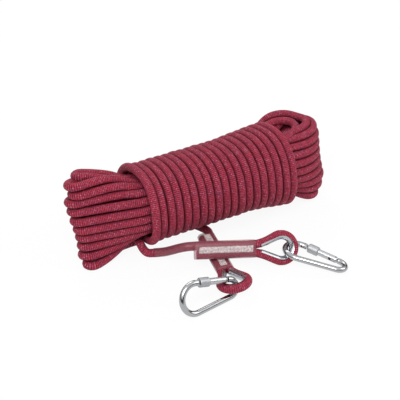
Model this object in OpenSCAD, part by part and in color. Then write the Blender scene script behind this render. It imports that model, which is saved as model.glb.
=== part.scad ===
// Hanked climbing rope with two sewn eyes and two screw-lock snap hooks.
// The hank lies along X on its flared ends, Z is up and the floor is z = 0.

/* [Rope] */
// Diameter of the rope
rope_d = 10; // [9:0.1:10.5]

/* [Hank] */
// Loops that show, one above the other
loops = 9; // [5:2:9]
// Height from one loop to the next at the ends of the hank
loop_step = 11; // [11:0.1:12]
// Width of a loop's end bend, between rope centres
bend_w = 66; // [60:1:72]
// Reach of the near end from the middle of the winding
near_reach = 174; // [165:1:190]
// Reach of the far end from the middle of the winding
far_reach = 164; // [162:1:180]
// Lean of the hank away from the front, in degrees
lean = 11.5; // [6:0.5:14]
// Height of the winding's underside above the floor
waist_clear = 11.7; // [11.5:0.1:18]

/* [Winding] */
// Turns round the waist
turns = 19; // [12:1:20]
// Space between one turn and the next
turn_gap = 0.45; // [0.42:0.01:0.9]
// Width of the waist over the winding
waist_w = 102; // [100:1:108]
// Height of the waist over the winding
waist_h = 91; // [90:1:94]
// Squareness of the waist's section, where 2 is an ellipse
waist_square = 2.4; // [2.2:0.1:2.8]

/* [Sewn eyes] */
// Length of the sewn double part
sewn_l = 72; // [60:1:80]
// Length of the stitched bars
stitch_l = 62; // [50:1:66]
// Width of the stitched bars
stitch_w = 6.8; // [5:0.1:7.5]
// Space between the two sewn legs
leg_gap = 0.2; // [0.1:0.05:0.4]
// Wall of the shrunk sleeve
sleeve_wall = 0.7; // [0.5:0.1:0.9]
// Distance from the end of the sewn part to the middle of the eye's round end
eye_l = 30; // [28:0.5:36]
// Width of the hole in the thimble
thimble_hole = 19; // [18:0.5:22]
// Wall of the thimble
thimble_wall = 0.9; // [0.6:0.1:1.1]

/* [Snap hooks] */
// Length of a hook over all
hook_l = 80; // [78:0.5:90]
// Diameter of a hook's rod
rod_d = 7; // [6.4:0.1:7.3]
// Width over the wide end
wide_w = 41; // [40:0.5:46]
// Width over the narrow end
narrow_w = 27.2; // [26.5:0.1:29]
// Diameter of the gate
gate_d = 7.6; // [7.2:0.1:8]
// Distance from the narrow bend to the gate's rivet
hinge_inset = 6; // [5.5:0.5:8]
// Length of the straight nose
nose_l = 2.5; // [2:0.5:4]
// Space between nose and gate
nose_gap = 2; // [1.5:0.1:2.5]
// Diameter of the gate's rivet
rivet_d = 2.5; // [2:0.1:3]
// Diameter of the latch pin in the nose
latch_d = 2; // [1.6:0.1:2.4]
// Length of the screw nut
nut_l = 13; // [10:0.5:14]
// Diameter of the screw nut
nut_d = 11; // [10.4:0.1:12]

/* [Hidden] */

// Middle of the whole object's footprint, seen from the middle of the winding
foot_x = -5;
foot_y = -59.67;

rope_r = rope_d / 2;
bend_r = bend_w / 2;
turn_step = rope_d + turn_gap;
winding_half = turns * turn_step / 2;
near_bend_x = -(near_reach - bend_r - rope_r);
far_bend_x = far_reach - bend_r - rope_r;
// The loops spread from just outside the winding to this angle round the bends
spread_start = winding_half + 4;
full_angle = 40;
row_power = 4;
// The outermost loops stand a little further apart
end_grow = 0.005;
// The lowest loop is cut flat by a tenth of the rope's diameter
flat_cut = rope_d / 10;
mid_level = (loops - 1) / 2;
fan_z = rope_r - flat_cut + mid_level * loop_step * (1 + end_grow * mid_level * mid_level);
// Half sizes of the winding's centre line, and of the space for rope inside it
wind_a = waist_w / 2 - rope_r;
wind_b = waist_h / 2 - rope_r;
waist_z = waist_clear + waist_h / 2;
strand_gap = 0.9;
strand_a = wind_a - rope_d - strand_gap;
strand_b = wind_b - rope_d - strand_gap;

function mix(a, b, t) = a + (b - a) * t;
function unit(v) = v / norm(v);
function sgn_pow(v, e) = sign(v) * pow(abs(v), e);
function clamp01(t) = min(1, max(0, t));

// Turn a vector about X, then Y, then Z, as rotate() does
function turn_x(a, v) = [v.x, v.y * cos(a) - v.z * sin(a), v.y * sin(a) + v.z * cos(a)];
function turn_y(a, v) = [v.x * cos(a) + v.z * sin(a), v.y, v.z * cos(a) - v.x * sin(a)];
function turn_z(a, v) = [v.x * cos(a) - v.y * sin(a), v.x * sin(a) + v.y * cos(a), v.z];
function turned(r, v) = turn_z(r.z, turn_y(r.y, turn_x(r.x, v)));

// Directions along a line of points, and side vectors carried along it without twist
function headings(p) = [for (i = [0:len(p) - 1]) unit(p[min(i + 1, len(p) - 1)] - p[max(i - 1, 0)])];
function across(v, t) = unit(v - (v * t) * t);
function carried(t, first) =
    [for (i = 0, s = across(first, t[0]); i < len(t);
        s = i + 1 < len(t) ? across(s, t[i + 1]) : s, i = i + 1) s];

// A closed tube round a line of points
module tube(p, r, sides, first = [0, 0, 1]) {
    t = headings(p);
    s = carried(t, first);
    n = len(p);
    rings = [for (i = [0:n - 1], j = [0:sides - 1])
        let (a = 360 * j / sides) p[i] + r * (cos(a) * s[i] + sin(a) * cross(t[i], s[i]))];
    wall = [for (i = [0:n - 2], j = [0:sides - 1], h = [0, 1])
        let (k = (j + 1) % sides, a = i * sides, b = a + sides)
        h == 0 ? [a + j, b + k, a + k] : [a + j, b + j, b + k]];
    last = (n - 1) * sides;
    caps = [for (j = [1:sides - 2], h = [0, 1])
        h == 0 ? [0, j, j + 1] : [last, last + j + 1, last + j]];
    polyhedron(points = rings, faces = concat(wall, caps), convexity = 10);
}

// Everything is drawn from the middle of the winding and moved to the middle of the footprint
module placed() {
    translate([-foot_x, -foot_y, 0]) children();
}

// ---- Hank -------------------------------------------------------------------------------

// Place of a strand in the waist's section, on the front side. Strands stand in two staggered
// rows a side, and the rows follow the section's round top and bottom.
waist_step = 2 * (strand_b - 4.5) / (loops - 1);
inner_row = bend_r - 1.4 * rope_d;
function room(z) = strand_a * pow(max(0, 1 - pow(abs(z) / strand_b, waist_square)), 1 / waist_square);
function waist_at(k) =
    let (z = (k - mid_level) * waist_step, outer = k % 2 == 1)
    [-(outer ? min(room(z), bend_r) : min(room(z) - 3, inner_row)), z];
function fan_at(k) = let (u = k - mid_level) [-bend_r, u * loop_step * (1 + end_grow * u * u)];

// Share of the way from the waist, 0, to the full height of the hank's ends, 1
function spread(x) =
    let (bend = abs(x < 0 ? near_bend_x : far_bend_x), past = clamp01((abs(x) - bend) / bend_r),
        run = min(abs(x), bend) - spread_start + bend_r * asin(past) * PI / 180)
    clamp01(run / (bend - spread_start + bend_r * full_angle * PI / 180));

// The rows come together later than the heights spread
function spread_at(k, t) = [mix(waist_at(k).x, fan_at(k).x, pow(t, row_power)), mix(waist_at(k).y, fan_at(k).y, t)];

// Point of loop k at x. The side runs from -1 at the front to 1 at the back.
function strand(k, x, side) =
    let (t = spread(x), m = mix(spread_at(floor(k), t), spread_at(ceil(k), t), k - floor(k)),
        y = -m.x * side, z = m.y, tilt = (1 - t) * sin(lean))
    [x, y + z * tan(lean), mix(waist_z, fan_z, t) + z - y * tilt];

bend_steps = 8;
straight_near = [near_bend_x * 0.55 - spread_start * 0.45, -spread_start];
climb_share = 0.8;
first_x = -winding_half * 0.6;

function far_bend(k) = [for (i = [0:bend_steps]) let (a = 180 * i / bend_steps)
    strand(k, far_bend_x + bend_r * sin(a), -cos(a))];
function near_bend(k) = [for (i = [0:bend_steps]) let (a = 180 * i / bend_steps)
    strand(k + clamp01(i / bend_steps / climb_share), near_bend_x - bend_r * sin(a), cos(a))];
function front_run(k) = concat(
    [for (x = k == 0 ? [first_x, first_x + rope_d] : straight_near) strand(k, x, -1)],
    [strand(k, spread_start, -1)]);
function back_run(k) = [for (x = concat([spread_start], [straight_near[1], straight_near[0]])) strand(k, x, 1)];
loops_line = [for (k = [0:loops - 1]) each concat(front_run(k), far_bend(k),
    k < loops - 1 ? concat(back_run(k), near_bend(k)) : [])];

// Winding: from the top of the back at the far end, down the back, to the bottom at the near end
ring_turn = 24;
first_angle = 15;
far_front_x = (turns - 1) / 2 * turn_step;
function wind_x(a) = far_front_x - turn_step * (-180 - a) / 360;
function wind_point(a) =
    let (y = wind_a * sgn_pow(cos(a), 2 / waist_square), z = wind_b * sgn_pow(sin(a), 2 / waist_square))
    [wind_x(a), y * cos(lean) + z * sin(lean), waist_z + z * cos(lean) - y * sin(lean)];
last_angle = -90 - 360 * turns;
winding_line = [for (a = [first_angle:-360 / ring_turn:last_angle + 0.1]) wind_point(a)];

// The last loop turns down into the winding through a quarter bend
last_strand = strand(loops - 1, far_bend_x, 1);
drop_r = far_bend_x - winding_line[0].x;
// Angle round the bend with the shares of the way across and down
lead_shares = [[30, 0.3, 0], [58, 0.8, 0.25], [75, 1, 0.65]];
lead_in = [for (s = lead_shares) [far_bend_x - drop_r * sin(s[0]),
    mix(last_strand.y, winding_line[0].y, s[1]), mix(last_strand.z, winding_line[0].z, s[2])]];
wind_end = wind_point(last_angle);
run_out = [for (l = [0, rope_d]) wind_end + [0, -l, 0]];
hank_line = concat(loops_line, lead_in, winding_line, run_out);

// Least gap between the tube and itself, between points that are not neighbours along it
function tube_gap(p, skip) = min([for (i = [0:len(p) - 1 - skip])
    min([for (j = [i + skip:len(p) - 1]) norm(p[i] - p[j])])]) - rope_d;
echo(hank_rings = len(hank_line), loops_gap = tube_gap(loops_line, 7), hank_gap = tube_gap(hank_line, 7));

module rope_hank() {
    color("firebrick") placed() difference() {
        tube(hank_line, rope_r, 6);
        translate([-near_reach - 20, -100, -rope_d]) cube([near_reach + far_reach + 40, 200, rope_d]);
    }
}

// Plain heart of the hank, inside the loops that show
core_clear = 0.5;
core_half = min([for (k = [0:loops - 1]) -waist_at(k).x]) - rope_r - core_clear;
function end_half(x) = mix(inner_row, bend_r, pow(spread(x), row_power)) - rope_r - core_clear;
end_top = rope_d * 1.2;
end_bottom = rope_d + 0.6;
eye_half = 6;
// The foot that the second free end runs out of, along the floor
foot_half = rope_r + 1;
foot_l = 6;
foot_face = -spread_start - 4;
core_start = spread_start + 5;
core_low = fan_z - end_bottom - 3.5;
core_high = fan_z - rope_r - end_top;

module core_end(bend_x) {
    way = sign(bend_x);
    half = end_half(bend_x) - 0.4;
    near_half = core_half - 0.8;
    translate([0, 0, fan_z]) rotate([-lean, 0, 0]) translate([0, 0, -core_low])
        linear_extrude(core_low + core_high) difference() {
            union() {
                translate([bend_x, 0]) circle(r = half, $fn = 48);
                polygon([[way * core_start, near_half], [bend_x, half], [bend_x, -half],
                    [way * core_start, -near_half]]);
            }
            for (x = [bend_x + way * half * 0.4, bend_x - way * half * 0.7])
                translate([x, 0]) circle(r = eye_half, $fn = 48);
        }
}

module hank_core() {
    color("maroon") placed() {
        translate([0, 0, waist_z]) rotate([-lean, 0, 0])
            cube([2 * core_start + 1, 2 * core_half - 0.6, 2 * (strand_b + 1.5)], center = true);
        core_end(near_bend_x);
        core_end(far_bend_x);
        translate([foot_face - foot_l, -foot_half, 0.2])
            cube([foot_l, 2 * foot_half, end_bottom + 6]);
    }
}

// ---- Sewn eyes --------------------------------------------------------------------------
// Each has its origin where the sewn part ends, X towards the eye, Y across the legs.

leg_y = rope_r + leg_gap / 2;
thimble_clear = 0.15;
crown_r = thimble_hole / 2 + thimble_wall + thimble_clear + rope_r;
leg_reach = sqrt(eye_l * eye_l + leg_y * leg_y);
leg_l = sqrt(leg_reach * leg_reach - crown_r * crown_r);
crown_angle = 180 - atan(leg_y / eye_l) - acos(crown_r / leg_reach);
tail_short = 2;

// Place and turn of the sewn part, and how far the eye bends down from it, for end a and end b
sewn_pos = [[8.5, -102.5, 22.2], [-34, -105, 6.6]];
sewn_turn = [[54, 1.6, -24], [6, 0, -101]];
eye_dip = [8.4, -12];

function sewn_point(e, v) = sewn_pos[e] + turned(sewn_turn[e], v);
function eye_point(e, v) = sewn_point(e, turn_y(eye_dip[e], v));
crown_steps = 16;
function eye_line(e) = concat(
    [sewn_point(e, [-sewn_l, leg_y, 0]), sewn_point(e, [-1, leg_y, 0])],
    [for (i = [0:crown_steps]) let (a = mix(crown_angle, -crown_angle, i / crown_steps))
        eye_point(e, [eye_l + crown_r * cos(a), crown_r * sin(a), 0])],
    [sewn_point(e, [-1, -leg_y, 0]), sewn_point(e, [tail_short - sewn_l, -leg_y, 0])]);

// Route of each free end, from the hank to the sewn part
lead_a = [for (v = [[0, -4.5, 0], [0.4, -10.5, -3.5], [4.5, -15, -8]]) wind_end + [0, -rope_d, 0] + v];
lead_b = [[foot_face, 0, 5.2], [foot_face + rope_d, 0, 5.2], [-85, 2, 5], [-68, 6, 5], [-52, 9, 5],
    [-38, 8.5, 5], [-26, 3, 5], [-17.5, -8, 5],
    sewn_point(1, [-sewn_l - rope_d, leg_y, 0])];
// The single rope in the sleeve's narrow tail
tail_a = [[-88, -37, 9], [-81.2, -44, 12.2], [-76, -51.5, 16.6], [-71.5, -59, 21.9],
    sewn_point(0, [-sewn_l - rope_d, leg_y, 0]),
    sewn_point(0, [-sewn_l - sleeve_wall - 0.1, leg_y, 0])];
tail_b = [];

end_line_a = concat([run_out[1]], lead_a, tail_a, eye_line(0));
end_line_b = concat(lead_b, tail_b, eye_line(1));

module rope_end(line) {
    color("firebrick") placed() tube(line, rope_r, 10);
}

// The shrunk sleeve: one oval sheath over both legs, and a round tail that butts up to it
sleeve_clear = 0.3;
tail_sides = 12;
module two_legs(r) {
    for (y = [-leg_y, leg_y]) translate([0, y]) circle(r = r, $fn = 48);
    square([2 * r, 2 * leg_y], center = true);
}
module along_x(l) {
    rotate([90, 0, 90]) linear_extrude(l) children();
}
module sewn_frame(e) {
    placed() translate(sewn_pos[e]) rotate(sewn_turn[e]) children();
}
module sleeve(e, tail_line) {
    inner = rope_r + sleeve_clear;
    color("rosybrown", 0.6) {
        sewn_frame(e) {
            translate([-sewn_l, 0, 0]) along_x(sewn_l - 2) difference() {
                rotate(90) two_legs(inner + sleeve_wall);
                rotate(90) two_legs(inner);
            }
            translate([-sewn_l - sleeve_wall, 0, 0]) along_x(sleeve_wall) difference() {
                rotate(90) two_legs(inner + sleeve_wall);
                translate([leg_y, 0]) circle(r = inner, $fn = 48);
            }
        }
        if (len(tail_line) > 1) placed() difference() {
            tube(tail_line, (inner + sleeve_wall) / cos(180 / tail_sides), tail_sides);
            tube(concat([2 * tail_line[0] - tail_line[1]], tail_line,
                [2 * tail_line[len(tail_line) - 1] - tail_line[len(tail_line) - 2]]),
                inner / cos(180 / tail_sides), tail_sides);
        }
    }
}

// A stitched bar lies in the groove between the legs on each face
module stitching(e) {
    bar_top = rope_r + 0.1;
    color("ivory") sewn_frame(e) translate([-sewn_l + (sewn_l - stitch_l) / 2, 0, 0])
        for (side = [-1, 1]) along_x(stitch_l) difference() {
            translate([-stitch_w / 2, side > 0 ? 2 : -bar_top]) square([stitch_w, bar_top - 2]);
            for (y = [-leg_y, leg_y]) translate([y, 0]) circle(r = rope_r + thimble_clear, $fn = 48);
        }
}

// The thimble is a channel bent to a teardrop, open towards the rope
module channel(step) {
    difference() {
        circle(r = rope_r + thimble_clear + thimble_wall - step, $fn = 48);
        circle(r = rope_r + thimble_clear + step, $fn = 48);
        translate([-rope_r * 0.35 - step, -2 * rope_d]) square([2 * rope_d, 4 * rope_d]);
    }
}
thimble_leg = leg_l * 0.88;
module thimble(e) {
    color("silver") sewn_frame(e) rotate([0, eye_dip[e], 0]) translate([eye_l, 0, 0]) {
        rotate([0, 0, -crown_angle]) rotate_extrude(angle = 2 * crown_angle, $fn = 64)
            translate([crown_r, 0]) channel(0);
        for (m = [0, 1]) mirror([0, m, 0]) rotate([0, 0, crown_angle]) translate([crown_r, 0, 0])
            translate([0, -weld_in, 0]) rotate([-90, 0, 0]) linear_extrude(thimble_leg) channel(weld_step);
    }
}

// ---- Snap hooks -------------------------------------------------------------------------
// Each has its origin in the middle of the wide bend, X towards the narrow end, Y towards the
// gate and Z along the rivet.

rod_r = rod_d / 2;
wide_r = (wide_w - rod_d) / 2;
narrow_r = (narrow_w - rod_d) / 2;
bend_span = hook_l - wide_r - narrow_r - rod_d;
side_slope = asin((wide_r - narrow_r) / bend_span);
side_l = bend_span * cos(side_slope);
gate_r = gate_d / 2;
gate_tip = side_l - hinge_inset - nose_l - nose_gap;
nut_clear = 0.25;
fork_l = 7.5;
tang_t = 3.2;
tang_reach = 4.5;
fork_clear = 0.2;
pin_clear = 0.05;
slot_w = 3.2;
slot_l = 6.5;
latch_inset = 3;
tongue_t = 2.6;
tongue_reach = 5.4;
bore_r = 2.6;
bore_end = gate_tip - 5;
cam_gap = 0.15;
head_x = 8.8;
head_l = 4;
// Straight pieces reach a little way into the bends they meet, and are a hair thinner
weld_in = 0.3;
weld_step = 0.02;

// Place and turn of each hook, the wide end of a and the narrow end of b in the eye
hook_pos = [[55.3, -121.6, 13.1], [-96.4, -144.2, 19.35]];
hook_turn = [[-9, 8.5, -51.3], [67.8, 8, 5.3]];

module hook_frame(e) {
    placed() translate(hook_pos[e]) rotate(hook_turn[e]) children();
}
// On the gate's line: origin at the rivet, X towards the nose, Y into the hook
module gate_frame(e) {
    hook_frame(e) translate([bend_span, 0, 0]) rotate([0, 0, 180 - side_slope])
        translate([hinge_inset, -narrow_r, 0]) children();
}
module rod_x(r, l) {
    rotate([0, 90, 0]) cylinder(r = r, h = l, $fn = 48);
}

module hook_body(e) {
    color("silver") hook_frame(e) difference() {
        union() {
            rotate([0, 0, 90 - side_slope]) rotate_extrude(angle = 180 + 2 * side_slope, $fn = 96)
                translate([wide_r, 0]) circle(r = rod_r, $fn = 48);
            translate([bend_span, 0, 0]) rotate([0, 0, side_slope - 90])
                rotate_extrude(angle = 180 - 2 * side_slope, $fn = 96)
                translate([narrow_r, 0]) circle(r = rod_r, $fn = 48);
            rotate([0, 0, side_slope]) translate([-weld_in, -wide_r, 0])
                rod_x(rod_r - weld_step, side_l + 2 * weld_in);
            rotate([0, 0, -side_slope]) translate([-weld_in, wide_r, 0])
                rod_x(rod_r - weld_step, nose_l + weld_in);
            rotate([0, 0, -side_slope]) translate([side_l - hinge_inset + 4, wide_r, 0])
                rod_x(rod_r - weld_step, hinge_inset - 4 + weld_in);
            rotate([0, 0, -side_slope]) translate([side_l - hinge_inset, wide_r, 0]) tang();
        }
        rotate([0, 0, -side_slope]) translate([nose_l - slot_l, wide_r - rod_d, -slot_w / 2])
            cube([slot_l + 1, 2 * rod_d, slot_w]);
        rotate([0, 0, -side_slope]) translate([side_l - hinge_inset, wide_r, -rod_d])
            cylinder(r = rivet_d / 2, h = 2 * rod_d, $fn = 32);
        rotate([0, 0, -side_slope]) translate([nose_l - latch_inset, wide_r, -rod_d])
            cylinder(r = latch_d / 2, h = 2 * rod_d, $fn = 32);
    }
}
module tang() {
    intersection() {
        translate([-tang_reach, -rod_r, -tang_t / 2]) cube([tang_reach + 4.4, rod_d, tang_t]);
        translate([-tang_reach, 0, 0]) rod_x(rod_r - 2 * weld_step, tang_reach + 4.4);
    }
}

module gate(e) {
    color("silver") gate_frame(e) {
        difference() {
            union() {
                rod_x(gate_r, gate_tip);
                sphere(r = gate_r, $fn = 48);
            }
            translate([-gate_d, -gate_d, -tang_t / 2 - fork_clear])
                cube([gate_d + fork_l, 2 * gate_d, tang_t + 2 * fork_clear]);
            translate([fork_l - 0.5, 0, 0]) rod_x(bore_r, bore_end - fork_l + 0.5);
            translate([0, 0, -gate_d]) cylinder(r = rivet_d / 2 + pin_clear, h = 2 * gate_d, $fn = 32);
            translate([-gate_d - 2.6, -gate_d, -gate_d]) cube([gate_d, 2 * gate_d, 2 * gate_d]);
        }
        difference() {
            translate([gate_tip - 0.01, -2.4, -tongue_t / 2]) cube([nose_gap + tongue_reach, 4.8, tongue_t]);
            translate([gate_tip + nose_gap + latch_inset, 0, -tongue_t]) {
                cylinder(r = latch_d / 2 + 0.3, h = 2 * tongue_t, $fn = 32);
                translate([-latch_d / 2 - 0.3, -5, 0]) cube([latch_d + 0.6, 5, 2 * tongue_t]);
            }
        }
    }
}

module hinge_rivet(e) {
    color("gray") gate_frame(e) translate([0, 0, -gate_r + 0.5])
        cylinder(r = rivet_d / 2, h = gate_d - 1, $fn = 32);
}

module latch_pin(e) {
    color("gray") gate_frame(e) translate([gate_tip + nose_gap + latch_inset, 0, -rod_r + 0.4])
        cylinder(r = latch_d / 2, h = rod_d - 0.8, $fn = 32);
}

module screw_nut(e) {
    nut_r = nut_d / 2;
    edge = 0.8;
    color("gainsboro") gate_frame(e) translate([gate_tip - nut_l, 0, 0]) rotate([0, 90, 0])
        rotate_extrude($fn = 72) polygon([[gate_r + nut_clear, 0], [nut_r - edge, 0], [nut_r, edge],
            [nut_r, nut_l - edge], [nut_r - edge, nut_l], [gate_r + nut_clear, nut_l]]);
}

module plunger(e) {
    nose_r = tang_t / 2 - 0.1;
    color("gray") gate_frame(e) {
        translate([tang_reach + cam_gap, 0, 0]) rod_x(nose_r, head_x - tang_reach - cam_gap + 0.01);
        translate([head_x, 0, 0]) rod_x(bore_r - 0.15, head_l);
    }
}

// The return spring fills the rest of the gate's bore
module spring(e) {
    end_clear = 1.5;
    start = head_x + head_l + end_clear;
    color("dimgray") gate_frame(e) translate([start, 0, 0]) difference() {
        rod_x(bore_r - 0.3, bore_end - 0.2 - start);
        translate([-1, 0, 0]) rod_x(bore_r - 1, bore_end - start + 2);
    }
}

rope_hank();
hank_core();
rope_end(end_line_a);  // rope_end_a
rope_end(end_line_b);  // rope_end_b
sleeve(0, tail_a);  // sleeve_a
sleeve(1, tail_b);  // sleeve_b
stitching(0);  // stitching_a
stitching(1);  // stitching_b
thimble(0);  // thimble_a
thimble(1);  // thimble_b
hook_body(0);  // hook_body_a
gate(0);  // gate_a
hinge_rivet(0);  // hinge_rivet_a
latch_pin(0);  // latch_pin_a
screw_nut(0);  // screw_nut_a
plunger(0);  // plunger_a
spring(0);  // spring_a
hook_body(1);  // hook_body_b
gate(1);  // gate_b
hinge_rivet(1);  // hinge_rivet_b
latch_pin(1);  // latch_pin_b
screw_nut(1);  // screw_nut_b
plunger(1);  // plunger_b
spring(1);  // spring_b
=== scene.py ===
import bpy
import bmesh
import math
import random
import numpy as np
from mathutils import Matrix, Vector


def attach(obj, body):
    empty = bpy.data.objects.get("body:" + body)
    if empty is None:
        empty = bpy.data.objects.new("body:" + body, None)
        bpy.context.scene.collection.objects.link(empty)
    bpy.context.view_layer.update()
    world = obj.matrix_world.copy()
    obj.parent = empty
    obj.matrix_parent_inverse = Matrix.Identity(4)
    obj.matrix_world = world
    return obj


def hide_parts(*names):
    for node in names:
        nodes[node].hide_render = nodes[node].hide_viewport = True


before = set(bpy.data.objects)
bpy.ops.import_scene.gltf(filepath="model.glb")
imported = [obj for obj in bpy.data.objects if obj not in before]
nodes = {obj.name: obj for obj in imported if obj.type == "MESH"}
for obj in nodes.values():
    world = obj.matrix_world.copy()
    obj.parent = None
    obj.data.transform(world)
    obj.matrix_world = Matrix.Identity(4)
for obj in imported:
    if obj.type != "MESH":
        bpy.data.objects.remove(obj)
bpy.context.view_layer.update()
random.seed(7)

# The script's own lengths are in millimetres from a point on the floor under the winding's
# middle, and this is that point in the frame
place = Vector((5, 59.67, 0))


def in_frame(points):
    """Points of the script's own as metres in the frame."""
    return (points + np.array(place)) / 1000


def lin(text):
    """An sRGB hex colour as linear RGBA."""
    out = []
    for i in (0, 2, 4):
        c = int(text[i:i + 2], 16) / 255
        out.append(c / 12.92 if c <= 0.04045 else ((c + 0.055) / 1.055) ** 2.4)
    return (*out, 1.0)


def add_object(name, data):
    """A new object in the scene."""
    o = bpy.data.objects.new(name, data)
    bpy.context.scene.collection.objects.link(o)
    return o


# ---- Shader helpers ----------------------------------------------------------------------
def empty_tree(block):
    """The cleared node tree of a material or a world."""
    block.use_nodes = True
    block.node_tree.nodes.clear()
    return block.node_tree


def new_material(name):
    """A material and its cleared node tree."""
    m = bpy.data.materials.new(name)
    return m, empty_tree(m)


def node(tree, kind, links=None, **values):
    """Adds a shader node, sets its properties and sockets, and links sockets by name or number."""
    n = tree.nodes.new(kind)
    for k, v in values.items():
        if hasattr(n, k):
            setattr(n, k, v)
        else:
            n.inputs[k.replace("_", " ")].default_value = v
    for k, v in (links or {}).items():
        tree.links.new(v, n.inputs[k])
    return n


def math_node(tree, op, a, b=None):
    """One math node with links or numbers as its inputs."""
    n = tree.nodes.new("ShaderNodeMath")
    n.operation = op
    for i, v in enumerate((a, b)):
        if v is None:
            continue
        if isinstance(v, (int, float)):
            n.inputs[i].default_value = v
        else:
            tree.links.new(v, n.inputs[i])
    return n.outputs[0]


def scaled(tree, value, factor, base):
    """base + factor * value"""
    return math_node(tree, "ADD", math_node(tree, "MULTIPLY", value, factor), base)


def ramp(tree, value, stops, blend):
    """The colours of (position, hex) stops for a value from 0 to 1."""
    n = node(tree, "ShaderNodeValToRGB", {0: value})
    n.color_ramp.interpolation = blend
    elements = n.color_ramp.elements
    for i, (position, colour) in enumerate(stops):
        e = elements[i] if i < 2 else elements.new(position)
        e.position = position
        e.color = lin(colour)
    return n.outputs[0]


def colour_mix(tree, share, first, second):
    """The first colour where share is 0 and the second where it is 1, as links or hex."""
    n = node(tree, "ShaderNodeMix", data_type="RGBA")
    tree.links.new(share, n.inputs[0])
    # sockets 6 and 7 are the two colours, and output 2 is the mixed one
    for socket, colour in ((6, first), (7, second)):
        if isinstance(colour, str):
            n.inputs[socket].default_value = lin(colour)
        else:
            tree.links.new(colour, n.inputs[socket])
    return n.outputs[2]


def noise(tree, scale, detail):
    """Cloudy values in the object's own space."""
    spot = node(tree, "ShaderNodeTexCoord").outputs["Object"]
    return node(tree, "ShaderNodeTexNoise", {"Vector": spot}, Scale=scale, Detail=detail).outputs[0]


def seeing_ray(tree):
    """1 for camera, glass and mirror rays, and 0 for those that only carry light."""
    path = node(tree, "ShaderNodeLightPath")
    straight = math_node(tree, "MAXIMUM", path.outputs["Is Camera Ray"], path.outputs["Is Transmission Ray"])
    return math_node(tree, "MAXIMUM", straight, path.outputs["Is Glossy Ray"])


# ---- Camera and stage --------------------------------------------------------------------
# The camera looks down on the hank from the front left, with a long lens
back = Vector((-0.4070, -0.7223, 0.5592)).normalized()
right = Vector((0.8712, -0.4909, 0))
up = back.cross(right)
stand = (Vector((-546.3, -953.4, 773.5)) + place) / 1000
cam_data = bpy.data.cameras.new("camera")
cam_data.lens = 98.1
cam_data.sensor_width = 36
cam_data.clip_start = 0.05
cam_data.clip_end = 20
cam = add_object("camera", cam_data)
cam.matrix_world = Matrix((
    (right.x, up.x, back.x, stand.x),
    (right.y, up.y, back.y, stand.y),
    (right.z, up.z, back.z, stand.z),
    (0, 0, 0, 1)))
bpy.context.scene.camera = cam
bpy.context.scene.view_settings.view_transform = "Standard"

# White all round for the rays that see, soft grey light for the rest
white = (1, 1, 1, 1)
world = bpy.data.worlds.new("studio")
bpy.context.scene.world = world
t = empty_tree(world)
plain = node(t, "ShaderNodeBackground", Color=white, Strength=0.5)
shown = node(t, "ShaderNodeBackground", Color=white, Strength=1.0)
mixed = node(t, "ShaderNodeMixShader", {0: seeing_ray(t), 1: plain.outputs[0], 2: shown.outputs[0]})
node(t, "ShaderNodeOutputWorld", {0: mixed.outputs[0]})


def stage_mesh(name, build, material, location):
    """A mesh on the stage, which isn't part of the object."""
    me = bpy.data.meshes.new(name)
    bm = bmesh.new()
    build(bm)
    bm.to_mesh(me)
    bm.free()
    me.materials.append(material)
    o = add_object(name, me)
    o.location = location
    return o


# Floor: nearly white by its own glow, and the rest of it pale paper that takes the shade. It
# lies a little low, so that it doesn't touch the rope.
m, t = new_material("floor")
paper = node(t, "ShaderNodeBsdfDiffuse", Color=lin("F4F4F4"))
glow = node(t, "ShaderNodeEmission", Color=white, Strength=1.0)
glow_share = math_node(t, "MULTIPLY", seeing_ray(t), 0.92)
mixed = node(t, "ShaderNodeMixShader", {0: glow_share, 1: paper.outputs[0], 2: glow.outputs[0]})
node(t, "ShaderNodeOutputMaterial", {0: mixed.outputs[0]})
floor = stage_mesh("floor", lambda bm: bmesh.ops.create_grid(bm, x_segments=1, y_segments=1, size=3),
                   m, (0, 0, -0.0003))

# A dark band round the stage that only reflections show, for the lines along polished rod
band_r, band_h, band_z = 2.6, 0.8, 0.62
m, t = new_material("dark band")
cloth = node(t, "ShaderNodeEmission", Color=(0.03, 0.03, 0.03, 1), Strength=1.0)
node(t, "ShaderNodeOutputMaterial", {0: cloth.outputs[0]})
band = stage_mesh("dark band", lambda bm: bmesh.ops.create_cone(
    bm, cap_ends=False, segments=48, radius1=band_r, radius2=band_r, depth=band_h), m, (0, 0, band_z))
band.visible_camera = band.visible_diffuse = band.visible_shadow = band.visible_transmission = False

# Soft square lamps: a strong one above left, and weaker ones on the right and behind
aim = Vector((0, 0, 0.05))
for name, spot, size, power in (
        ("key", (-0.7, -0.9, 1.5), 1.0, 21),
        ("fill", (1.3, -0.6, 0.9), 1.0, 7),
        ("rim", (0.3, 1.3, 1.1), 0.9, 8)):
    lamp = bpy.data.lights.new(name, "AREA")
    lamp.size = size
    lamp.energy = power
    o = add_object(name, lamp)
    o.location = spot
    o.rotation_mode = "QUATERNION"
    o.rotation_quaternion = (Vector(spot) - aim).to_track_quat("Z", "Y")


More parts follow.
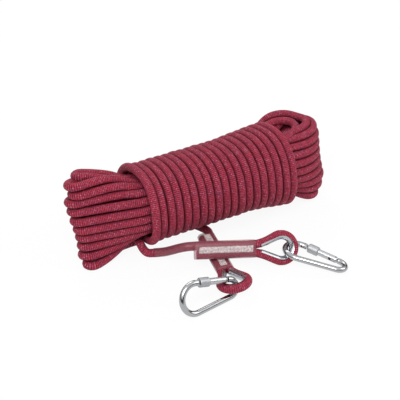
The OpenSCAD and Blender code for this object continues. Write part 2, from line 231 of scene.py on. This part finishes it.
# ---- Materials of the rope ---------------------------------------------------------------
def braided_sheath():
    """Diamonds of crimson yarn with mauve and pale pink ones among them, and every second one
    paler, with painted shade in the grooves between the yarns and where the turns meet. The UV
    map holds metres along the rope and turns round it."""
    carriers, cell_length, keep_positive = 20, 0.002, 2000.0
    m, t = new_material("braided sheath")

    def op(kind, a, b=None):
        return math_node(t, kind, a, b)

    uv = node(t, "ShaderNodeUVMap", uv_map="UVMap").outputs[0]
    along, turn = node(t, "ShaderNodeSeparateXYZ", {0: uv}).outputs[:2]
    along, turn = op("MULTIPLY", along, 1 / cell_length), op("MULTIPLY", turn, float(carriers))
    ways = op("ADD", along, turn), op("SUBTRACT", along, turn)
    cell_a, cell_b = (op("FLOOR", way) for way in ways)
    check = op("MODULO", op("ADD", op("ADD", cell_a, cell_b), keep_positive), 2.0)
    arch_a, arch_b = (op("POWER", op("SINE", op("MULTIPLY", op("FRACT", way), math.pi)), 0.5) for way in ways)
    height = op("MULTIPLY", arch_a, arch_b)

    # single yarns of other colours show as flecks where they come to the top
    cells = node(t, "ShaderNodeCombineXYZ", {0: cell_a, 1: cell_b})
    pick = node(t, "ShaderNodeTexWhiteNoise", {"Vector": cells.outputs[0]}, noise_dimensions="2D")
    yarn = ramp(t, pick.outputs["Value"], (
        (0.0, "A02A40"), (0.34, "AE324A"), (0.54, "8C243C"), (0.66, "843654"),
        (0.79, "AC546C"), (0.89, "9A2A40")), "CONSTANT")
    # painted shade: the grooves between the yarn arches are darker
    groove_shade = op("MULTIPLY", op("SUBTRACT", 1.0, height), 0.55)
    woven = colour_mix(t, groove_shade, yarn, "560C1C")

    # every second diamond is paler, and a faint cloud runs along the rope
    cloud = node(t, "ShaderNodeTexNoise", {"Vector": uv}, Scale=14.0, Detail=2.0).outputs[0]
    value = op("MULTIPLY", scaled(t, cloud, 0.22, 0.89), scaled(t, check, 0.94, 0.53))
    tint = node(t, "ShaderNodeHueSaturation", {
        "Color": woven, "Value": value, "Saturation": op("SUBTRACT", 1.1, op("MULTIPLY", check, 0.165))})

    # painted shade where the turns meet: the colour darkens where other rope lies close by
    near_by = node(t, "ShaderNodeAmbientOcclusion", samples=6, Distance=0.006)
    open_air = node(t, "ShaderNodeMapRange", {0: near_by.outputs["AO"]},
                    From_Min=0.25, From_Max=0.85, To_Min=0.22, To_Max=1.0)
    colour = colour_mix(t, open_air.outputs[0], "450612", tint.outputs[0])

    lump = node(t, "ShaderNodeBump", {"Height": height}, Strength=0.75, Distance=0.0004)
    body = node(t, "ShaderNodeBsdfPrincipled", {"Base Color": colour, "Normal": lump.outputs[0]},
                Roughness=0.62, Specular_IOR_Level=0.14,
                Sheen_Weight=0.05, Sheen_Roughness=0.5, Sheen_Tint=lin("B06070"))
    node(t, "ShaderNodeOutputMaterial", {0: body.outputs[0]})
    return m


def shrunk_film():
    """Clear pinkish film, a little creased."""
    m, t = new_material("shrunk film")
    lump = node(t, "ShaderNodeBump", {"Height": noise(t, 160.0, 2.0)}, Strength=0.25, Distance=0.0006)
    skin = node(t, "ShaderNodeBsdfPrincipled", {"Normal": lump.outputs[0]},
                Roughness=0.3, Alpha=0.46, Base_Color=lin("B0606E"))
    node(t, "ShaderNodeOutputMaterial", {0: skin.outputs[0]})
    return m


def satin_thread():
    """Pale sewing thread with finer strands in it."""
    m, t = new_material("satin thread")
    strands = noise(t, 500.0, 2.0)
    colour = ramp(t, strands, ((0.3, "9C8486"), (0.62, "D8CACA")), "LINEAR")
    lump = node(t, "ShaderNodeBump", {"Height": strands}, Strength=0.3, Distance=0.0002)
    cloth = node(t, "ShaderNodeBsdfPrincipled", {"Base Color": colour, "Normal": lump.outputs[0]},
                 Roughness=0.42)
    node(t, "ShaderNodeOutputMaterial", {0: cloth.outputs[0]})
    return m


rope_mat = braided_sheath()
film = shrunk_film()
thread = satin_thread()


# ---- Lines and tubes ---------------------------------------------------------------------
def vectors(rows):
    """Rows of coordinates as arrays."""
    return [np.array(row, float) for row in rows]


def smooth(points, step):
    """A Catmull-Rom line through the points, cut to about the given step."""
    p = np.asarray(points, float)
    q = np.vstack([2 * p[0] - p[1], p, 2 * p[-1] - p[-2]])
    out = []
    for i in range(1, len(q) - 2):
        a, b, c, d = q[i - 1:i + 3]
        n = max(1, int(math.ceil(np.linalg.norm(c - b) / step)))
        for j in range(n):
            s = j / n
            out.append(0.5 * ((2 * b) + (c - a) * s + (2 * a - 5 * b + 4 * c - d) * s * s
                              + (3 * b - a - 3 * c + d) * s ** 3))
    out.append(q[-2])
    return np.array(out)


def run_along(path):
    """Distance from the path's start at each of its points."""
    return np.concatenate([[0], np.cumsum(np.linalg.norm(np.diff(path, axis=0), axis=1))])


def round_rings(path, radius, sides):
    """Circles round a path that don't twist against each other."""
    head = np.gradient(path, axis=0)
    head /= np.linalg.norm(head, axis=1)[:, None]
    side = np.zeros_like(path)
    s = np.array([0, 0, 1.0]) if abs(head[0][2]) < 0.9 else np.array([0, 1.0, 0])
    for i in range(len(path)):
        s = s - head[i] * s.dot(head[i])
        s /= np.linalg.norm(s)
        side[i] = s
    other = np.cross(head, side)
    ang = np.arange(sides) / sides * 2 * math.pi
    ca, sa = np.cos(ang)[None, :, None], np.sin(ang)[None, :, None]
    return path[:, None] + radius * (ca * side[:, None] + sa * other[:, None])


def skin_over(name, path, rings, material):
    """A capped tube through rings of points round a path, with a UV map of metres along the
    path and turns round it."""
    n, sides = rings.shape[:2]
    i, j = np.meshgrid(np.arange(n - 1), np.arange(sides), indexing="ij")
    k = (j + 1) % sides
    quads = np.stack([(i + 1) * sides + j, (i + 1) * sides + k, i * sides + k, i * sides + j], -1)
    faces = quads.reshape(-1, 4).tolist()
    faces.append(list(range(sides)))
    faces.append([(n - 1) * sides + x for x in reversed(range(sides))])
    me = bpy.data.meshes.new(name)
    me.from_pydata(in_frame(rings.reshape(-1, 3)).tolist(), [], faces)
    run = run_along(path) / 1000
    u0, u1 = run[i.ravel()], run[i.ravel() + 1]
    v0, v1 = j.ravel() / sides, (j.ravel() + 1) / sides
    corners = np.stack([np.stack(uv, -1) for uv in ((u1, v0), (u1, v1), (u0, v1), (u0, v0))], 1)
    vals = np.zeros((len(me.loops), 2), np.float32)
    vals[:len(corners) * 4] = corners.reshape(-1, 2)
    me.uv_layers.new(name="UVMap").data.foreach_set("uv", vals.ravel())
    me.polygons.foreach_set("use_smooth", [True] * len(me.polygons))
    me.materials.append(material)
    me.validate()
    me.update()
    return add_object(name, me)


def tube(name, path, radius, sides, material):
    """A round capped tube along a path."""
    return skin_over(name, path, round_rings(path, radius, sides), material)


# ---- Hank --------------------------------------------------------------------------------
# Each turn is a wide loop and a slim one inside it, and the turns rise side by side. The last
# wide loop turns down into the winding. Near is the end at -X, far the one at +X. A strand's
# kind is its side of the waist, f for front or b for back, and its loop, w for wide or s for
# slim, such as "fw".
rope_r = 5.0
levels = 10                 # wide loops, one above the other
top_level = levels - 1
mid_level = top_level / 2
slim_top = top_level - 1    # the topmost slim loop lies in the wide loop of this level
floor_z = 5.0               # height of a strand's middle that lies on the floor
wall = 100.0                # half the length of the winding's inside, along X
turns, pitch = 19, 10.45
waist_z = 57.2              # height of the winding's middle
waist_lean = math.radians(11.5)
room_y, room_z = 35.2, 29.6    # half the size of the section that holds the wide loops
wound_y, wound_z = 46.0, 40.5  # half the size of the winding's own section
squareness = 2.4            # 2 would make both sections ellipses


def oval(a, b, ang):
    """A point of a rounded section."""
    c, s = math.cos(ang), math.sin(ang)
    power = 2 / squareness
    return np.array([a * math.copysign(abs(c) ** power, c), b * math.copysign(abs(s) ** power, s)])


def leaned(y, z):
    """A point of the waist's section, turned with the winding."""
    c, s = math.cos(waist_lean), math.sin(waist_lean)
    return np.array([y * c + z * s, waist_z + z * c - y * s])


arc = np.array([oval(room_y, room_z, math.radians(x)) for x in np.linspace(-90, 90, 361)])
arc_run = run_along(arc)


def waist(kind, k):
    """Place of a strand inside the winding: wide ones line it, slim ones lie in two columns."""
    sign = 1 if kind[0] == "b" else -1
    if kind[1] == "w":
        s = (k + 0.5) / levels * arc_run[-1]
        return leaned(sign * np.interp(s, arc_run, arc[:, 0]), np.interp(s, arc_run, arc[:, 1]))
    slim_rise, lining, outer, inner = 5.1, 10.5, 24.3, 12.5
    z = (k - 4) * slim_rise
    room = room_y * max(0.0, 1 - (abs(z) / room_z) ** squareness) ** (1 / squareness) - lining
    return leaned(sign * min(room, outer if k % 2 else inner), z)


# The near tips by level: how far out each loop reaches, and where its front strand lies
near_rise = 10.38
front_to_slim, slim_to_back = 19.5, 15.5    # between the columns of strands there
tip_x = [-159, -158, -156.8, -157, -158.5, -160.4, -161, -162, -157.5, -160]
tip_y = [-19.5, -14, -10, -7, -5.6, -2.6, 3, 6.5, 5.4, 9.4]


def near(kind, k):
    """Place of a strand at the near tip, in four columns. The two at the back rise and come
    forward over the topmost levels."""
    z = floor_z + near_rise * k
    if kind == "fw":
        return np.array([np.interp(k, range(levels), tip_y), z])
    y = np.interp(k + 1, range(levels), tip_y) + front_to_slim
    if kind == "fs":
        return np.array([y, z + near_rise / 2])
    top = max(0.0, k - 5.5) / 2.5    # 0 up to level 5.5 and 1 at level 8
    y += 9.0 - 15.0 * top * top
    z += 6.0 + 6.0 * top
    return np.array([y, z] if kind == "bs" else [y + slim_to_back, z - 3.5 * top])


# The far tips: how they rise, how they lean back about the fan's middle, and how far each
# loop reaches beyond the plain one
far_rise, far_lean, fan_mid = 10.1, 0.2, 51.7
far_tip = [4, 11, 14, 12, 10.5, 10, 10, 10, 7.5, -2]


def far(kind, k):
    """Place of a strand at the far tip, where the loops lie in each other."""
    z = floor_z + 3 + far_rise * k + 3.5 * math.sin(math.pi * k / top_level)
    z += 1.5 if k == top_level else 4.7 * (k / slim_top) ** 2
    if kind[1] == "s":
        z += 6.5 if k == slim_top else 2
        half_width = 17
    else:
        half_width = 29.5 if k == top_level else 35.5
    y = half_width if kind[0] == "b" else -half_width
    return np.array([y + far_lean * (z - fan_mid), z])


def spread(kind, k, t, end):
    """A strand between waist (t 0) and tip (t 1); steps between wide strands turn as they go."""
    if kind[1] == "s":
        return waist(kind, k) * (1 - t) + end(kind, k) * t
    p = waist(kind, mid_level) * (1 - t) + end(kind, mid_level) * t
    lo, hi = min(mid_level, k), max(mid_level, k)
    cuts = [lo] + [c for c in np.arange(0, levels, 0.5) if lo < c < hi] + [hi]
    for a, b in zip(cuts, cuts[1:]):
        w, f = waist(kind, b) - waist(kind, a), end(kind, b) - end(kind, a)
        ang = math.atan2(w[1], w[0]) * (1 - t) + math.atan2(f[1], f[0]) * t
        size = np.linalg.norm(w) * (1 - t) + np.linalg.norm(f) * t
        p += (1 if k > mid_level else -1) * size * np.array([math.cos(ang), math.sin(ang)])
    return p


def inside(kind, k, way):
    """A strand through the winding, with way 1 towards the far end and -1 back."""
    return [np.array([way * x, *waist(kind, k)]) for x in (-50.0, 0.0, 50.0)]


def near_run(kind, k, inward):
    """A strand from the waist out to the near tip, or back from it."""
    end_x = tip_x[min(k + 1, top_level) if kind == "fs" else k]
    if kind[0] == "b":
        end_x += 9 if k == slim_top else 20
    quickness = 0.62 if k >= 7 else 0.95
    pts = []
    for s in (0, 0.12, 0.3, 0.5, 0.7, 0.88, 1.0):
        pts.append(np.array([-wall + (end_x + wall) * s, *spread(kind, k, s ** quickness, near)]))
    return pts[::-1] if inward else pts


def near_fold(kind_a, k_a, kind_b, k_b):
    """Half a turn at the near tip from one strand to another."""
    a, b = near_run(kind_a, k_a, False)[-1], near_run(kind_b, k_b, False)[-1]
    mid, half = (a + b) / 2, (a - b) / 2
    r = np.linalg.norm(half)
    return [mid + half * math.cos(w) + np.array([-r, 0, 0]) * math.sin(w)
            for w in np.radians(np.linspace(0, 180, 11))[1:-1]]


def far_loop(size, k, last_deg=180):
    """A loop's far end, from front to back, as half an oval that opens out of the waist."""
    centre, reach, count, flatness = (104, 43, 22, 1.25) if size == "w" else (101, 30, 16, 1.05)
    reach += far_tip[k]
    out = []
    for deg in np.linspace(0, last_deg, count):
        a = math.radians(deg)
        t = math.sin(a) ** 0.75
        front, rear = spread("f" + size, k, t, far), spread("b" + size, k, t, far)
        p, mean = front if deg < 90 else rear, (front + rear) / 2
        flat = abs(math.cos(a)) ** flatness
        out.append(np.array([centre + reach * math.sin(a), mean[0] + (p[0] - mean[0]) * flat,
                             mean[1] + (p[1] - mean[1]) * min(1.0, flat * 1.5)]))
    return out


# The start comes out of the hank's underside at the near end, where the free end joins it
route = vectors(((-107.3, 0, 5.2), (-118, -0.8, 5.1), (-132, -3, 5.1), (-145, -4.5, 5),
                 (-158, -4.5, 5), (-165, -8.5, 5), (-167, -13.5, 5), (-164, -18, 5)))
# The topmost slim loop lies close inside the wide one above it
topmost_slim = vectors(((85, 24, 84), (100, 30, 91.5), (112, 30, 94.8), (123, 27.3, 95.5),
                        (130, 20.5, 95.5), (131.5, 12.5, 95.5), (129, 4, 95.5), (120, -5, 95),
                        (108, -9, 93), (98, -9, 90), (80, -8.5, 83)))
# The last wide loop goes down the back at the far end into the winding
way_down = vectors(((141, 20, 99.5), (134, 31, 99.5), (124, 37.3, 99), (113, 40.5, 96.5),
                    (104.6, 43.8, 88.5), (100.8, 46.5, 78)))
for k in range(levels):
    route += near_run("fw", k, True) + inside("fw", k, 1)
    if k == top_level:
        route += far_loop("w", k, 96)
        break
    route += far_loop("w", k) + inside("bw", k, -1)
    route += near_run("bw", k, False) + near_fold("bw", k, "bs", k) + near_run("bs", k, True)
    route += inside("bs", k, 1)
    route += topmost_slim if k == slim_top else far_loop("s", k)[::-1]
    route += inside("fs", k, -1)
    route += near_run("fs", k, False) + near_fold("fs", k, "fw", k + 1)
route += way_down
least_gap = 1.5
route = [p for i, p in enumerate(route) if i == 0 or np.linalg.norm(p - route[i - 1]) > least_gap]

# Strands bend gently where they leave the winding, and keep their form at the tips. The ends
# of the line are held.
unwound = 5                 # points of the way down that are left as they are
tips_from = 128             # where the tips begin, along X to either side
held_first, held_last = 40, 12
ease_rounds = 14
loops = smooth(route[:-unwound], 3.0)
ease = np.where(np.abs(loops[:, 0]) < tips_from, 1.0, 0.22)[:, None]
ease[:held_first] = ease[-held_last:] = 0
for _ in range(ease_rounds):
    loops[1:-1] += ease[1:-1] * 0.5 * ((loops[:-2] + loops[2:]) / 2 - loops[1:-1])
route = list(loops[::2]) + route[-unwound:]


def share(value):
    """The value, held between 0 and 1."""
    return min(1.0, max(0.0, value))


# The winding runs from the far end to the near one and ends under the hank
first_deg, last_deg, deg_step = 15, -90 - 360 * turns, -7.5
for deg in np.arange(first_deg, last_deg - 0.1, deg_step):
    y, z = oval(wound_y, wound_z, math.radians(deg))
    done = (first_deg - deg) / 360
    x = (turns - 1) / 2 * pitch - pitch * (-180 - deg) / 360
    # turns waver a little, and lean over more above and at the back as they go on
    x += 0.25 * math.sin(math.radians(deg * 0.53))
    x += 7.5 * done / turns * (0.5 + 0.5 * math.cos(math.radians(deg - 50)))
    # the last turn stands proud of the rest until its end tucks in
    proud = share((-deg - 360 * (turns - 1) + 60) / 150) * share((360 * turns + 60 + deg) / 60)
    swell = 1 + 0.045 * proud
    swell += 0.004 * math.sin(math.radians(deg * 0.37)) + 0.003 * math.sin(math.radians(deg * 1.31))
    # the first turns, over the far loops, stand higher above and lower below
    z *= 1 + (0.17 * share(1 - done / 7) ** 0.8 if z > 0 else 0.21 * share(1 - done / 5))
    route.append(np.array([x, *leaned(y * swell, z * swell)]))
route += vectors(((-101.888, -13.0, 17.5), (-101.888, -18.07, 17.5)))

hank_path = smooth(route, 4.5)
hank = tube("rope_hank_tube", hank_path, rope_r, 18, rope_mat)
hank_len = float(run_along(hank_path)[-1] / 1000)
print("hank length", round(hank_len, 3), "faces", len(hank.data.polygons))
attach(hank, "rope")
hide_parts("rope_hank", "hank_core")

# ---- Free ends ---------------------------------------------------------------------------
# Each runs from the hank through its sleeve, round its eye and back into the sleeve
end_a = [(-101.888, -18.07, 17.51), (-101.888, -22.57, 17.51), (-101.487, -28.57, 14.0),
         (-97.39, -33.07, 9.5), (-88, -37, 9), (-81.2, -44, 12.2), (-76, -51.5, 17.4),
         (-71.5, -59, 23.1), (-65.06, -66.47, 27.9), (-56.66, -70.21, 28.3), (-36, -79.4, 27.7),
         (8.91, -99.4, 26.35)]
end_b = [(-107.275, 0, 5.2), (-97.275, 0, 5.2), (-85, 2, 5), (-68, 6, 5), (-52, 9, 5),
         (-38, 8.5, 5), (-26, 3, 5), (-17.5, -8, 5), (-13.37, -25.47, 7.13), (-15.28, -35.29, 7.13),
         (-22, -70, 7.13), (-28.83, -104.99, 7.13)]
# the sleeve of eye A has a tail that follows that end's points 4 to 8
tail_a = [(-91, -35.6, 9.0), *end_a[4:9], (-56.3, -70.36, 28.35)]
tail_r = 5.42
# A sewn part lies along its own X with its eye at +X. Its two legs lie either side of Y 0.
sewn_l = 72.0
leg_y = 5.1
eye_l = 30.0                # from the sewn part's end to the middle of the eye's crown
crown_r = 15.55
crown_angle = 111.12        # to either side of the eye's far point
film_steps, film_sides, film_r = 30, 32, 5.62
bar_from, bar_l = -67.0, 62.0
threads = 48


def turn_by(deg):
    """A turn about X, then Y, then Z."""
    x, y, z = (math.radians(v) for v in deg)
    return np.array(Matrix.Rotation(z, 3, "Z") @ Matrix.Rotation(y, 3, "Y") @ Matrix.Rotation(x, 3, "X"))


def film_rings(at):
    """The middle line of a sleeve and ovals round both legs, drawn in at the sleeve's ends."""
    draw, draw_l = 0.05, 4
    xs = np.linspace(-sewn_l - 1.0, -1.5, film_steps)
    rings = []
    for x in xs:
        at_ends = draw * max(0, 1 - (x - xs[0]) / draw_l), draw * max(0, 1 - (xs[-1] - x) / draw_l)
        r = film_r * (1.0 - at_ends[0] - at_ends[1])
        ring = []
        for q in range(film_sides):
            a = 2 * math.pi * q / film_sides
            leg = math.copysign(1, math.cos(a)) * leg_y * min(1, abs(math.cos(a)) * 3)
            ring.append(at(x, leg + r * math.cos(a), r * math.sin(a)))
        rings.append(ring)
    return np.array([at(x, 0, 0) for x in xs]), np.array(rings)


def satin_bars(name, at):
    """Threads laid side by side across the groove between the legs, on both faces. Each is a
    flat arch, a little slanted, and no two are quite alike."""
    steps, sides, thread_r = 8, 8, 0.82
    face_h, arch_h, slant = 5.5, 0.55, 0.4
    me = bpy.data.meshes.new(name)
    bm = bmesh.new()
    for face in (1, -1):
        for i in range(threads):
            x = bar_from + bar_l * (i + 0.5) / threads + random.uniform(-0.2, 0.2)
            half = 3.95 + random.uniform(-0.16, 0.16)
            rings = []
            for q in range(steps + 1):
                y = half * (2 * q / steps - 1)
                h = face_h + arch_h * math.sqrt(max(0.0, 1 - (y / (half + 0.05)) ** 2)) ** 0.7
                r = thread_r * (0.5 if q in (0, steps) else 1)
                rings.append([bm.verts.new(in_frame(at(
                    x + slant * face * y / half + r * math.cos(w), y, face * h + 0.85 * r * math.sin(w))))
                    for w in np.linspace(0, 2 * math.pi, sides, endpoint=False)])
            for r0, r1 in zip(rings, rings[1:]):
                for w in range(sides):
                    bm.faces.new((r0[w], r0[(w + 1) % sides], r1[(w + 1) % sides], r1[w]))
            bm.faces.new(rings[0])
            bm.faces.new(rings[-1][::-1])
    bmesh.ops.recalc_face_normals(bm, faces=bm.faces)
    for f in bm.faces:
        f.smooth = True
    bm.to_mesh(me)
    bm.free()
    me.materials.append(thread)
    return add_object(name, me)


# Each sewn part's place and turn, the dip of its eye about Y in degrees, and the line to it
straps = {
    "a": (np.array([8.5, -102.5, 22.2]), turn_by((54, 1.6, -24)), 8.4, end_a),
    "b": (np.array([-34.0, -105.0, 6.6]), turn_by((6, 0, -101)), -12.0, end_b),
}
for key, (origin, spin, dip, lead) in straps.items():
    def at(x, y, z):
        """A point of the sewn part in the script's own millimetres."""
        return origin + spin @ np.array([x, y, z])

    tilt = turn_by((0, dip, 0))
    crown = []
    for a in np.radians(crown_angle * (1 - 2 * np.arange(17) / 16)):
        crown.append(at(*(tilt @ np.array([eye_l + crown_r * math.cos(a), crown_r * math.sin(a), 0]))))
    second_leg = [at(x, -leg_y, 0) for x in (-1.0, -36.0, 2.0 - sewn_l)]
    path = smooth(lead + crown + second_leg, 2.4)
    rope = tube(f"rope_end_tube_{key}", path, rope_r, 24, rope_mat)
    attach(rope, "rope")
    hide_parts(f"rope_end_{key}")
    length = float(run_along(path)[-1] / 1000)
    print("end", key, round(length, 3))

    parts = [skin_over(f"sleeve_film_{key}", *film_rings(at), film)]
    if key == "a":
        parts.append(tube("sleeve_tail_a", smooth(tail_a, 2.0), tail_r, 24, film))
    for o in parts:
        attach(o, "rope")
    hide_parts(f"sleeve_{key}")

    bars = satin_bars(f"satin_bar_{key}", at)
    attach(bars, "rope")
    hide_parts(f"stitching_{key}")


# ---- Steel -------------------------------------------------------------------------------
def steel(name, colour, rough, unevenness, scale):
    """Plated steel with a fine grain that runs through the object's own space."""
    m, t = new_material(name)
    grain = noise(t, scale, 3.0)
    roughness = scaled(t, grain, unevenness, rough - unevenness / 2)
    lump = node(t, "ShaderNodeBump", {"Height": grain}, Strength=0.02, Distance=0.0002)
    metal = node(t, "ShaderNodeBsdfPrincipled", {"Roughness": roughness, "Normal": lump.outputs[0]},
                 Metallic=1.0, Base_Color=lin(colour))
    node(t, "ShaderNodeOutputMaterial", {0: metal.outputs[0]})
    return m


polished = steel("polished plated steel", "AEAFB1", 0.17, 0.06, 120.0)
satin = steel("satin plated steel", "BEBFC1", 0.36, 0.1, 700.0)
brushed = steel("brushed nut steel", "AEB0B3", 0.5, 0.12, 900.0)
drawn = steel("drawn steel", "BCBEC2", 0.24, 0.12, 300.0)
dull = steel("pin steel", "8A8C90", 0.35, 0.1, 500.0)
looks = {"hook_body": polished, "gate": satin, "screw_nut": brushed, "hinge_rivet": dull, "latch_pin": dull,
         "plunger": dull, "spring": dull, "thimble": drawn}
sharp_from = 32             # degrees between two faces whose edge stays sharp
for n, o in nodes.items():
    kind = n[:-2]           # without its _a or _b
    if kind in looks:
        o.data.materials.clear()
        o.data.materials.append(looks[kind])
        for f in o.data.polygons:
            f.use_smooth = True
        o.data.set_sharp_from_angle(angle=math.radians(sharp_from))
